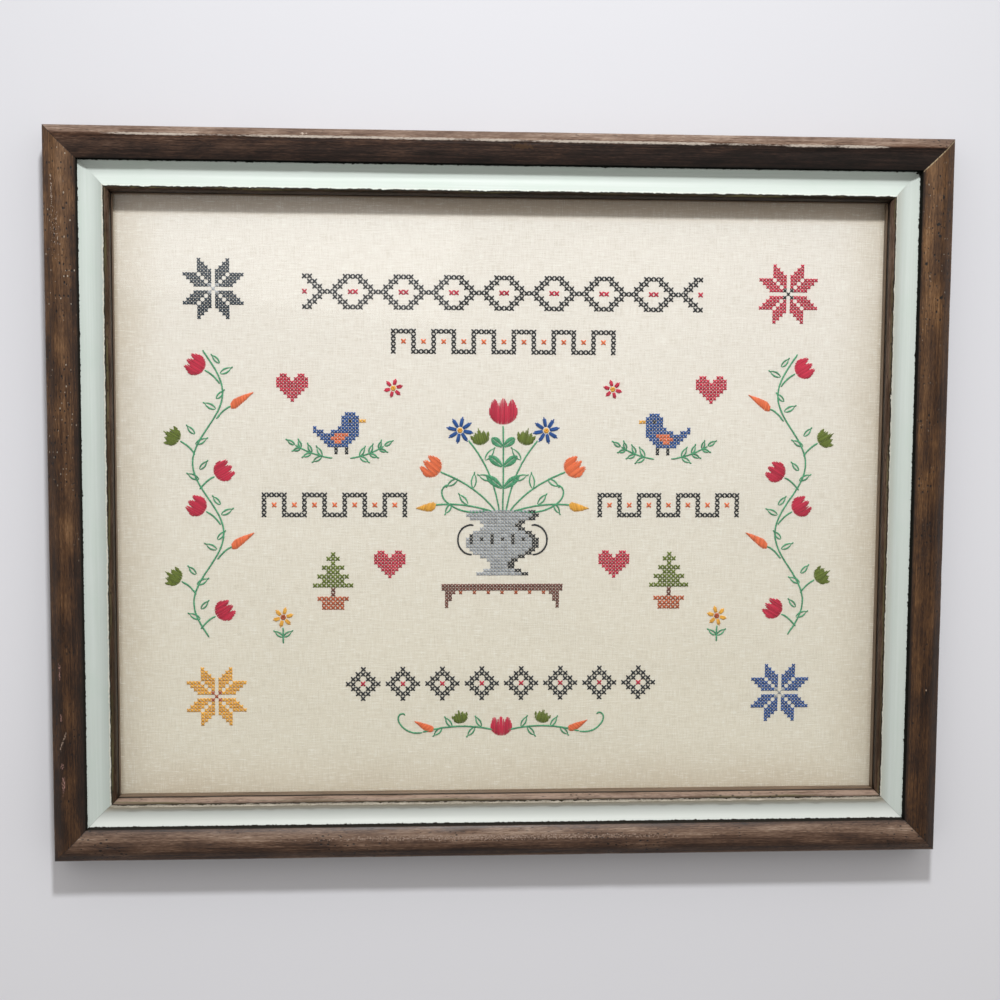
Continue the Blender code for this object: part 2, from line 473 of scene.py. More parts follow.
# Colours of the moulding, in linear light; the stains are ramps from dark to pale tones
COOL_STAIN = (
    (0.05, (0.008, 0.006, 0.005)), (0.30, (0.023, 0.014, 0.012)), (0.50, (0.064, 0.037, 0.028)),
    (0.70, (0.144, 0.101, 0.084)), (0.95, (0.31, 0.250, 0.215)),
)
WARM_STAIN = (
    (0.05, (0.009, 0.005, 0.004)), (0.30, (0.027, 0.012, 0.006)), (0.50, (0.074, 0.033, 0.012)),
    (0.70, (0.160, 0.079, 0.030)), (0.95, (0.32, 0.20, 0.11)),
)
LIP_STAIN = (
    (0.15, (0.014, 0.009, 0.005)), (0.45, (0.050, 0.027, 0.016)), (0.75, (0.145, 0.094, 0.068)),
    (0.95, (0.28, 0.20, 0.155)),
)
PORE, LIP_PORE, FLECK = (0.012, 0.008, 0.006), (0.014, 0.010, 0.008), (0.008, 0.005, 0.004)
# The rubbed crest's colour is also a painted highlight, and the mitre's pale line is a painted glint
CHIP, RUBBED_AND_HIGHLIT_WOOD, MITRE_GLINT = (0.40, 0.34, 0.27), (0.37, 0.32, 0.275), (0.36, 0.27, 0.16)
MINT_LOW, MINT_HIGH = (0.528, 0.582, 0.545), (0.572, 0.622, 0.592)
MINT_GREEN, MINT_GREY, GRIME = (0.495, 0.580, 0.520), (0.555, 0.570, 0.545), (0.62, 0.54, 0.41)
CREAM, MESSY_CREAM = (0.80, 0.77, 0.68), (0.84, 0.77, 0.65)
PAINT_CRACK, WOOD_CRACK = (0.14, 0.15, 0.13), (0.010, 0.007, 0.006)
# The unpainted corner shows the groove's painted shade
UNPAINTED_CORNER_SHADE, BESIDE_PAINT = (0.014, 0.016, 0.014), (0.012, 0.009, 0.005)
# The groove's dark wood with painted shade, lighter where its wall faces the lamp and deeper where it faces
# away
GROOVE_LIGHTER_SHADE, GROOVE_DEEPER_SHADE = (0.030, 0.026, 0.022), (0.006, 0.007, 0.006)
PATINA, NOTCH_SHADE = (0.100, 0.088, 0.040), (0.012, 0.006, 0.003)
FILLET_DARK, FILLET_PALE = (0.062, 0.038, 0.022), (0.22, 0.155, 0.105)
RAW_PALE, RAW_DARK = (0.50, 0.35, 0.20), (0.36, 0.24, 0.13)

# Single marks of wear, in millimetres: the rail, how far along from its middle and how far in the mark
# lies, its reach along and across, its turn in degrees, its colour, and the noise above which the
# scraped wood shows, or 0 for a whole mark
PALE, DARK, PINK, BARE = (0.42, 0.34, 0.28), (0.008, 0.006, 0.005), (0.30, 0.165, 0.14), (0.25, 0.18, 0.14)
AMBER, LIGHT_CHIP = (0.050, 0.027, 0.014), (0.34, 0.25, 0.18)
SCRAPED = 0.48
WEAR = (
    ("left", 142, 7, (6.0, 0.5), 19, BARE, SCRAPED),
    ("left", 145, 6, (3.0, 0.4), 4, BARE, SCRAPED),
    ("left", 168, 7, (5.0, 1.0), 2, PINK, SCRAPED),
    ("left", 157, 6, (1.5, 1.0), 0, PINK, SCRAPED),
    ("left", 128, 6, (2.0, 0.8), 0, PINK, SCRAPED),
    ("left", 100, 5.5, (5.0, 0.6), 0, PINK, SCRAPED),
    ("left", -178, 5.5, (7.0, 0.6), -1, PALE, 0.50),
    ("left", -155, 7, (13.0, 2.5), -3, PALE, 0.60),
    ("top", -9, 9, (6.0, 1.5), 0, AMBER, 0),
    ("top", 118, 3, (2.5, 0.8), 8, PALE, SCRAPED),
    ("right", 165, 10, (1.0, 1.0), 0, DARK, 0),
    ("right", 158, 9, (0.8, 0.8), 0, DARK, 0),
    ("right", 181, 7.5, (1.5, 0.7), 0, DARK, 0),
    ("right", 142, 16, (1.2, 0.8), 0, DARK, 0),
    ("right", 122, 7, (1.2, 1.0), 0, DARK, 0),
    ("right", -115, 9, (0.5, 0.4), 0, LIGHT_CHIP, 0),
    ("right", -117, 9, (0.9, 0.5), 0, DARK, 0),
    ("bottom", -4, 12.5, (95.0, 1.5), 0, BARE, SCRAPED),
)


# Where the paint falls short of the upper right corner and the groove's painted shade shows: the rail, how
# far along and in, and the reach
SHADED_CORNER_GAPS = (
    ("top", -247, 19.5, (2.5, 1.0)),
    ("right", 196, 19.5, (2.5, 1.0)),
)


def make_rail(side, outer_length, place, turn, material):
    """One mitred length of the moulding, a little uneven and dented, with grain coordinates."""
    look = RAIL_LOOKS[side]
    seed = look["seed"]
    half = outer_length / 2 - MITRE_GAP
    count = int(outer_length / RAIL_STEP)
    t = np.linspace(-1.0, 1.0, count + 1)[:, None]
    inward, height = SECTION[:, 0][None, :], SECTION[:, 1][None, :]
    u = t * (half - inward)
    v = np.broadcast_to(SECTION_ALONG[None, :], u.shape)

    shown = (v > MARKS["edge"]) & (v < MARKS["rebate"])
    ends = np.clip((half - inward - np.abs(u)) / (4 * MM), 0.0, 1.0)
    bulge = UNEVENNESS * waves(u, v, seed, (0.09, 0.03))
    bulge = bulge - dents(u, v, seed + 1, DENT_COUNT, half) * (v < MARKS["step"])
    ridge = hill(v, MARKS["lip"], 0.6 * MM)
    bulge = bulge + ridge * PAINT_RIDGE * (1 + waves(u, v, seed + 2, (0.006, 0.02)))
    bead = hill(v, MARKS["lip"] - 2.8 * MM, 0.8 * MM) * look["messy"]
    bulge = bulge + bead * PAINT_BEAD * (1 + 0.3 * waves(u, v, seed + 4, (0.010, 0.02)))
    bulge = bulge * ends * shown

    normal = section_normals()
    inset = inward + bulge * normal[None, :, 0]
    rise = height + bulge * normal[None, :, 1]
    cos_turn, sin_turn = math.cos(turn), math.sin(turn)
    points = np.stack([
        place[0] + u * cos_turn - inset * sin_turn,
        place[1] + u * sin_turn + inset * cos_turn,
        rise,
    ], axis=-1)

    rows, columns = u.shape
    index = np.arange(rows * columns).reshape(rows, columns)
    following = np.roll(index, -1, axis=1)
    quads = np.stack([index[:-1], index[1:], following[1:], following[:-1]], axis=-1).reshape(-1, 4)
    start_cap = index[0][None, :]
    end_cap = index[-1][::-1][None, :]

    v_next = np.append(SECTION_ALONG[1:], SECTION_ALONG[-1] + HIDDEN_STEP)[None, :] + 0 * u
    u_next = np.roll(u, -1, axis=1)
    corner_u = np.stack([u[:-1], u[1:], u_next[1:], u_next[:-1]], axis=-1) + seed
    corner_v = np.stack([v[:-1], v[1:], v_next[1:], v_next[:-1]], axis=-1)
    quad_uv = np.stack([corner_u, corner_v], axis=-1).reshape(-1, 2)
    cap_uv = np.concatenate([
        np.stack([u[0] + seed, v[0]], axis=-1),
        np.stack([u[-1][::-1] + seed, v[-1][::-1]], axis=-1),
    ])

    band = look["band"] * hill(v, across_at(look["band_at"] * MM), 3.2 * MM)
    step_reach = look["step_reach"] * MM
    beside_step = np.clip((v - MARKS["step"] + step_reach) / step_reach, 0, 1) * (v < MARKS["cove"])
    crest_at = MARKS["crest"] - (0.7 + 0.7 * u / half) * MM * (side == "top")
    on_bevel = np.clip((crest_at + 0.5 * MM - v) / (1.5 * MM), 0, 1)
    stain = look["tone"] + look["along"] * u / half
    # Painted light on the outer bevel: lighter on the top rail, whose bevel faces the lamp, a little darker
    # on the bottom and right rails
    stain = stain + (look["painted_bevel_light"][0] + look["painted_bevel_light"][1] * u / half) * on_bevel
    stain = stain + band - look["step_dark"] * beside_step
    # A painted highlight along the outermost edge, strongest on the bottom rail
    stain = stain + look["painted_edge_light"] * hill(v, MARKS["edge"] + 1.0 * MM, 1.2 * MM)
    stain = stain + 0.05 * waves(u, v, seed + 3, (0.05, 0.02))
    # The crest's pale line: wood rubbed pale and a painted highlight, strongest on the top rail
    crest = hill(v, crest_at, 1.2 * MM) * look["crest"]
    crest = crest * np.clip((half - inward - np.abs(u) - 12 * MM) / (35 * MM), 0.35, 1.0)
    rail = new_mesh_object(
        side + "_moulding", points.reshape(-1, 3), [quads, start_cap, end_cap],
        uv=np.concatenate([quad_uv, cap_uv]),
        values={
            **{name: 0 * u + look[name] for name in ("warmth", "messy", "groove", "rim")},
            "stain": stain,
            "crest": crest,
            "dull": hill(v, MARKS["crest"], 3.0 * MM) * (side == "top"),
            "speckled": look["speckled"][0] + look["speckled"][1] * u / half,
            "to_mitre": half - inward - np.abs(u),
            "outer_edge": 0 * u + look["paint_edges"][0] * MM,
            "inner_edge": 0 * u + look["paint_edges"][1] * MM,
            "painted_mitre_glint": look["painted_mitre_glint"] * (u > 0),
        },
    )
    rail.data.set_sharp_from_angle(angle=SHARP_CORNER)
    rail.data.materials.append(material)
    return rail


def wear_mark(add, surface, ragged, side, along, inset, reach, degrees=0.0):
    """An oval mark on one rail, from its place and reach in millimetres."""
    place = RAIL_LOOKS[side]["seed"] + along * MM, across_at(inset * MM)
    return mark(add, surface, ragged, place, (reach[0] * MM, reach[1] * MM), degrees)


def rail_material():
    """Walnut-stained wood under worn varnish, with a hand-painted mint cove, a dark groove and painted light
    and shade.
    """
    material, add = new_finish("stained_and_painted_wood")
    surface = add("ShaderNodeUVMap", uv_map="surface").outputs[0]
    across = add("ShaderNodeSeparateXYZ", {0: surface}).outputs[1]
    stain, warmth, crest, dull_crest, speckled, messy = point_values(
        add, "stain", "warmth", "crest", "dull", "speckled", "messy")
    to_mitre, groove_shade_depth, outer_edge, inner_edge, rim_strength, painted_mitre_glint = point_values(
        add, "to_mitre", "groove", "outer_edge", "inner_edge", "rim", "painted_mitre_glint")
    step, cove, lip, notch, rebate = (MARKS[name] for name in ("step", "cove", "lip", "notch", "rebate"))

    # Walnut tones: broad clouds, streaks and fine fibres along the grain
    streaks = grain(add, surface, (20, 900), 5.0, 0.66)
    clouds = grain(add, surface, (30, 120), 3.0, 0.5)
    fibres = grain(add, surface, (220, 2600))
    tone = stain
    for pattern, amount in ((streaks, 0.72), (clouds, 0.50), (fibres, 0.80)):
        tone = varied(add, pattern, amount, tone)
    wood = blend_colours(add, warmth, colour_ramp(add, tone, COOL_STAIN), colour_ramp(add, tone, WARM_STAIN))

    # Pores, dark flecks, pale chips and single marks
    pores = stretch(add, grain(add, surface, (260, 1500), 2.0, 0.5), 0.66, 0.72)
    where = maths(add, "MULTIPLY_ADD", speckled, 0.13, noise(add, surface, 26.0, 2.0, 0.5))
    where = stretch(add, where, 0.52, 0.64)
    stretched = scaled(add, surface, (0.6, 1, 1))
    flecks = product(add, specks(add, stretched, 2.3 * MM, 0.42 * MM, 0.42, 3.1), where)
    chips = product(add, specks(add, stretched, 1.9 * MM, 0.30 * MM, 0.10, 8.3), where)
    chips = product(add, chips, stretch(add, speckled, 0.35, 1.0, 0.0, 0.8))
    wood = layered(add, wood, (pores, PORE), (flecks, FLECK), (chips, CHIP))
    torn = grain(add, surface, (420, 1300), 4.0, 0.65)
    broken = grain(add, surface, (850, 1400), 2.0, 0.6)
    nicks = grain(add, surface, (620, 620))
    ragged = varied(add, nicks, 3.2, 0.0)
    for side, along, inset, reach, degrees, colour, torn_above in WEAR:
        spot = wear_mark(add, surface, ragged, side, along, inset, reach, degrees)
        if torn_above:
            spot = product(add, spot, stretch(add, broken, torn_above, torn_above + 0.08))
        wood = blend_colours(add, spot, wood, colour)

    # The crest, rubbed through to pale wood in a ragged line that also serves as a painted highlight, and a
    # painted glint along one mitre
    patches = stretch(add, grain(add, surface, (38, 60), 2.0, 0.5), 0.30, 0.62, 0.65, 1.15)
    rubbed_and_highlit = stretch(add, product(add, product(add, crest, patches), torn), 0.30, 0.72, 0.0, 0.90)
    # A painted glint along the upper mitre of the right rail
    mitre_glint_line = product(add, below(add, to_mitre, 0.7 * MM, 1.3 * MM), painted_mitre_glint)
    mitre_glint_line = product(add, mitre_glint_line, stretch(add, torn, 0.40, 0.54))
    wood = layered(add, wood, (rubbed_and_highlit, RUBBED_AND_HIGHLIT_WOOD), (mitre_glint_line, MITRE_GLINT))

    # Where the paint lies: its brushed edges wander, and on a messy rail it is daubed past the inner one
    wobble = grain(add, surface, (130, 130), 4.0, 0.62)
    shift = varied(add, wobble, 3.2 * MM, varied(add, nicks, 2.0 * MM, 0.0))
    from_edge = maths(add, "SUBTRACT", across, outer_edge)
    outer = maths(add, "SUBTRACT", from_edge, maths(add, "ABSOLUTE", shift))
    wavy = maths(add, "ADD", maths(add, "SUBTRACT", across, inner_edge), shift)
    daubs = stretch(add, grain(add, surface, (330, 330)), 0.38, 0.62, 0.6 * MM, 1.4 * MM)
    inner = maths(add, "SUBTRACT", wavy, product(add, daubs, messy))
    painted = between(add, outer, (cove - 0.3 * MM, cove - 0.1 * MM), (lip - 0.2 * MM, lip), inner)

    # The mint paint, with brush marks, grime on its inner slope and a cream rim
    brush = grain(add, surface, (9, 700))
    mottle = grain(add, surface, (40, 60), 3.0, 0.5)
    grime = stretch(add, across, lip - 8.5 * MM, lip - 2.5 * MM)
    mint = layered(
        add, blend_colours(add, stretch(add, brush, 0.3, 0.7), MINT_LOW, MINT_HIGH),
        (stretch(add, mottle, 0.4, 0.8, 0.0, 0.35), MINT_GREEN), (product(add, messy, 0.7), MINT_GREY),
        (product(add, grime, messy), GRIME))
    # The paint falls short at the upper right corner, where the groove's painted shade shows
    for side, along, inset, reach in SHADED_CORNER_GAPS:
        mint = blend_colours(add, wear_mark(add, surface, ragged, side, along, inset, reach), mint, UNPAINTED_CORNER_SHADE)
    rim_start = maths(add, "MULTIPLY_ADD", messy, 0.4 * MM, lip - 1.6 * MM)
    rim = stretch(add, maths(add, "SUBTRACT", wavy, rim_start), 0.0, 0.6 * MM)
    rim = product(add, product(add, rim, stretch(add, nicks, 0.36, 0.50, 0.35, 1.0)), rim_strength)
    crack = below(add, to_mitre, 0.10 * MM, 0.40 * MM)
    paint_crack = product(add, crack, product(add, messy, 0.6))
    cream = blend_colours(add, messy, CREAM, MESSY_CREAM)
    mint = layered(add, mint, (rim, cream), (paint_crack, PAINT_CRACK))

    # The groove, dark wood with painted shade that is deepest where its wall faces away from the lamp, the
    # lip with its notch, whose dark line is painted shade, and its fillet, and the raw wood that the panels
    # hide
    groove = between(add, from_edge, (step - 0.9 * MM, step - 0.2 * MM),
                     (cove + 0.4 * MM, cove + 0.9 * MM), across)
    patina = stretch(add, grain(add, surface, (16, 420)), 0.44, 0.60, 0.0, 0.75)
    patina = product(add, patina, below(add, across, lip + 1.2 * MM, lip + 2.4 * MM))
    lip_zone = stretch(add, across, lip - 3.6 * MM, lip - 2.8 * MM)
    lip_wood = layered(
        add, colour_ramp(add, maths(add, "MULTIPLY_ADD", messy, 0.41, tone), LIP_STAIN),
        (patina, PATINA), (product(add, flecks, 0.8), PORE), (pores, LIP_PORE))
    notch_end = maths(add, "MULTIPLY_ADD", messy, -0.7 * MM, notch + 1.1 * MM)
    fillet_start = maths(add, "ADD", notch_end, 0.5 * MM)
    beside_paint = between(add, inner, (lip - 0.2 * MM, lip), (lip + 0.6 * MM, lip + 1.3 * MM))
    hidden = stretch(add, across, rebate - 0.2 * MM, rebate + 0.6 * MM)
    wood = layered(
        add, wood,
        (groove, blend_colours(add, groove_shade_depth, GROOVE_LIGHTER_SHADE, GROOVE_DEEPER_SHADE)),
        (lip_zone, lip_wood),
        (between(add, across, (notch - 3.2 * MM, notch - 2.4 * MM), (notch_end, fillet_start)), NOTCH_SHADE),
        (stretch(add, across, notch_end, fillet_start), blend_colours(add, clouds, FILLET_DARK, FILLET_PALE)),
        (product(add, beside_paint, maths(add, "MULTIPLY_ADD", messy, -0.5, 1.0)), BESIDE_PAINT),
        (product(add, crack, 0.75), WOOD_CRACK), (hidden, blend_colours(add, streaks, RAW_PALE, RAW_DARK)))

    # Varnish that is duller in the groove, on the lip and along the top rail's crest, where the painted
    # highlight stands in for its shine
    dull = maths(add, "MAXIMUM", maths(add, "MAXIMUM", groove, product(add, lip_zone, 0.5)), dull_crest)
    gloss = maths(add, "MULTIPLY_ADD", rubbed_and_highlit, 0.2, stretch(add, streaks, 0.3, 0.7, 0.34, 0.50))
    wood_relief = maths(add, "MULTIPLY_ADD", fibres, 0.5, product(add, pores, -0.5))
    wood_relief = maths(add, "MULTIPLY_ADD", flecks, -1.5, wood_relief)
    paint_relief = maths(add, "MULTIPLY_ADD", brush, 0.30, maths(add, "MULTIPLY_ADD", rim, 0.9, 1.2))
    return finish(
        add, material, {
            "Base Color": blend_colours(add, painted, wood, mint),
            "Specular IOR Level": product(add, maths(add, "SUBTRACT", 1.0, dull), 0.32),
            "Roughness": blend_values(add, painted, gloss, 0.46),
        }, blend_values(add, painted, wood_relief, paint_relief), 0.5, 0.12 * MM)


def make_rails():
    """The four rails, each in place of its node."""
    material = rail_material()
    half_width, half_height, quarter = FRAME_WIDTH / 2, FRAME_HEIGHT / 2, math.pi / 2
    rails = (
        ("bottom", FRAME_WIDTH, (0.0, -half_height), 0.0),
        ("top", FRAME_WIDTH, (0.0, half_height), math.pi),
        ("left", FRAME_HEIGHT, (-half_width, 0.0), -quarter),
        ("right", FRAME_HEIGHT, (half_width, 0.0), quarter),
    )
    for side, length, place, turn in rails:
        rail = make_rail(side, length, place, turn, material)
        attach(rail, BODY)
        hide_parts("rail_" + side)


# The linen, the board behind it and the pane

# Colours of the linen, in linear light
# The pale and warm tones run from the top to the foot; the aged colour is yellowed cloth with painted shade
LINEN_PALE, LINEN_WARM, LINEN_AGED_AND_SHADED = (0.798, 0.748, 0.700), (0.765, 0.710, 0.600), (0.640, 0.545, 0.420)
# The first two colours are the lip's shadow painted on the cloth, at the top and at the sides
PAINTED_LIP_SHADOW_TOP, PAINTED_LIP_SHADOW_SIDES, WEAVE_GAP = (0.62, 0.49, 0.37), (0.40, 0.32, 0.23), (0.45, 0.40, 0.32)
SLUB_PALE, SLUB_DARK, DASH_PALE = (0.90, 0.88, 0.83), (0.56, 0.50, 0.41), (0.93, 0.91, 0.86)
WEAVE_PITCH = 0.55 * MM

# Where the linen's shades begin and end, in metres from the middle: warmer towards the foot and yellower at
# the sides and the foot, partly aged cloth and partly painted shade where the light falls off, and the lip's
# shadow painted at the top and at the sides
WARM_FROM, WARM_TO = 0.17, -0.17
AGED_AND_SHADED_SIDES, AGED_AND_SHADED_FOOT = (0.195, 0.235), (-0.145, -0.182)
TOP_SHADE = (0.164, 0.174)
LEFT_SHADE, RIGHT_SHADE = (-0.2265, -0.2292), (0.2265, 0.2292)


def linen_material():
    """Plain-woven cream linen with slubs, yellower at its edges and foot from age and painted shade."""
    material, add = new_finish("cream_linen")
    place = add("ShaderNodeNewGeometry").outputs["Position"]
    parts = add("ShaderNodeSeparateXYZ", {0: place})
    x, y = parts.outputs[0], parts.outputs[1]
    uneven = noise(add, place, 60.0, 2.0, 0.5)
    shift = product(add, uneven, 1.5)
    warp, weft = (maths(add, "SINE", maths(add, "MULTIPLY_ADD", way, 2 * math.pi / WEAVE_PITCH, shift))
                  for way in (x, y))
    over = product(add, warp, weft)
    slubs = grain(add, place, (110, 1500))
    rises = grain(add, place, (1500, 120), 2.0, 0.5)
    dashes = grain(add, place, (170, 1250), 2.0, 0.5)
    blotches = noise(add, place, 14.0, 4.0, 0.55)

    # Yellower at the sides and the foot, partly aged cloth and partly painted shade where the light falls off
    edge = maths(add, "MAXIMUM",
                 stretch(add, maths(add, "ABSOLUTE", x), *AGED_AND_SHADED_SIDES),
                 stretch(add, y, *AGED_AND_SHADED_FOOT))
    edge = product(add, edge, stretch(add, blotches, 0.25, 0.75, 0.30, 0.75))
    # The lip's shadow painted on the cloth beside the side lips, deeper on the left
    painted_lip_shadow = maths(add, "MAXIMUM", stretch(add, x, *LEFT_SHADE, 0.0, 0.60),
                       stretch(add, x, *RIGHT_SHADE, 0.0, 0.30))
    thread_tone = maths(add, "MULTIPLY_ADD", slubs, 0.58, product(add, rises, 0.42))
    colour = layered(
        add, blend_colours(add, stretch(add, y, WARM_FROM, WARM_TO), LINEN_PALE, LINEN_WARM),
        (edge, LINEN_AGED_AND_SHADED),
        (stretch(add, y, *TOP_SHADE, 0.0, 0.75), PAINTED_LIP_SHADOW_TOP),
        (painted_lip_shadow, PAINTED_LIP_SHADOW_SIDES),
        (stretch(add, thread_tone, 0.50, 0.64, 0.0, 0.45), SLUB_PALE),
        (stretch(add, thread_tone, 0.50, 0.37, 0.0, 0.32), SLUB_DARK),
        (stretch(add, dashes, 0.60, 0.70, 0.0, 0.45), DASH_PALE),
        (stretch(add, over, 0.4, 1.0, 0.0, 0.10), WEAVE_GAP))
    relief = maths(add, "MULTIPLY_ADD", over, 0.5, product(add, slubs, 1.6))
    return finish(add, material, {"Base Color": colour}, relief, 0.40, 0.10 * MM,
                  Roughness=0.85, Sheen_Weight=0.15, Specular_IOR_Level=0.25)


def linen_ripple(x, y):
    """How far the linen's face stands above or below its flat plane at a place."""
    return LINEN_RIPPLE * waves(x, y, 21, (0.05, 0.03))


def make_linen():
    """The stretched ground, a thin closed sheet that is a little uneven."""
    low, high = LINEN_LOW, LINEN_HIGH
    xs = np.linspace(low.x, high.x, int((high.x - low.x) / LINEN_GRID) + 1)
    ys = np.linspace(low.y, high.y, int((high.y - low.y) / LINEN_GRID) + 1)
    grid_x, grid_y = np.meshgrid(xs, ys)
    face = np.stack([grid_x, grid_y, LINEN_FACE + linen_ripple(grid_x, grid_y)], axis=-1).reshape(-1, 3)
    under = np.stack([grid_x, grid_y, 0 * grid_x + LINEN_UNDERSIDE], axis=-1).reshape(-1, 3)
    index = np.arange(grid_x.size).reshape(grid_x.shape)
    top = np.stack([index[:-1, :-1], index[:-1, 1:], index[1:, 1:], index[1:, :-1]], axis=-1).reshape(-1, 4)
    bottom = top[:, ::-1] + grid_x.size
    rim = np.concatenate([index[0, :-1], index[:-1, -1], index[-1, :0:-1], index[:0:-1, 0]])
    rim_next = np.roll(rim, -1)
    sides = np.stack([rim, rim + grid_x.size, rim_next + grid_x.size, rim_next], axis=-1)
    linen = new_mesh_object("linen_ground", np.concatenate([face, under]), [top, bottom, sides])
    linen.data.materials.append(linen_material())
    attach(linen, BODY)
    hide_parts("linen_panel")
    return linen


# Colours of the board and the tint of the glass, in linear light
BOARD_DARK, BOARD_PALE, BOARD_CLOUD = (0.235, 0.175, 0.120), (0.36, 0.28, 0.20), (0.20, 0.155, 0.115)
GLASS_TINT = (0.985, 0.988, 0.982, 1)
GLASS_IOR = 1.5


def dress(node_name, material):
    """Give a solid its finish."""
    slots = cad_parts[node_name].data.materials
    slots.clear()
    slots.append(material)


def finish_board():
    """Grey-brown fibreboard with short pale and dark fibres."""
    material, add = new_finish("fibreboard")
    place = add("ShaderNodeNewGeometry").outputs["Position"]
    fibres = noise(add, scaled(add, place, (900, 420, 900)), 1.0, 4.0, 0.7)
    clouds = noise(add, place, 18.0, 3.0, 0.5)
    colour = layered(add, blend_colours(add, stretch(add, fibres, 0.35, 0.65), BOARD_DARK, BOARD_PALE),
                     (stretch(add, clouds, 0.4, 0.7, 0.0, 0.35), BOARD_CLOUD))
    finish(add, material, {"Base Color": colour}, fibres, 0.5, 0.2 * MM, Roughness=0.85)
    dress("backing_board", material)


def finish_pane():
    """Thin clear glass: it lets the cloth show straight through and mirrors a little, with faint smears."""
    material, add = new_finish("clear_pane")
    tree = material.node_tree
    geometry = add("ShaderNodeNewGeometry")
    smears = noise(add, scaled(add, geometry.outputs["Position"], (9, 26, 1)), 1.0, 5.0, 0.6)
    facing_out = maths(add, "SUBTRACT", 1.0, geometry.outputs["Backfacing"])
    share = product(add, add("ShaderNodeFresnel", {"IOR": GLASS_IOR}).outputs[0], facing_out)
    share = product(add, share, stretch(add, smears, 0.3, 0.8, 1.0, 1.5))
    clear = add("ShaderNodeBsdfTransparent", {"Color": GLASS_TINT})
    shine = add("ShaderNodeBsdfAnisotropic", {"Roughness": stretch(add, smears, 0.3, 0.8, 0.02, 0.10)})
    glass = add("ShaderNodeMixShader", {0: share, 1: clear.outputs[0], 2: shine.outputs[0]})
    tree.nodes.remove(tree.nodes["Principled BSDF"])
    tree.links.new(glass.outputs[0], tree.nodes["Material Output"].inputs["Surface"])
    dress("glass_pane", material)


# Stitches

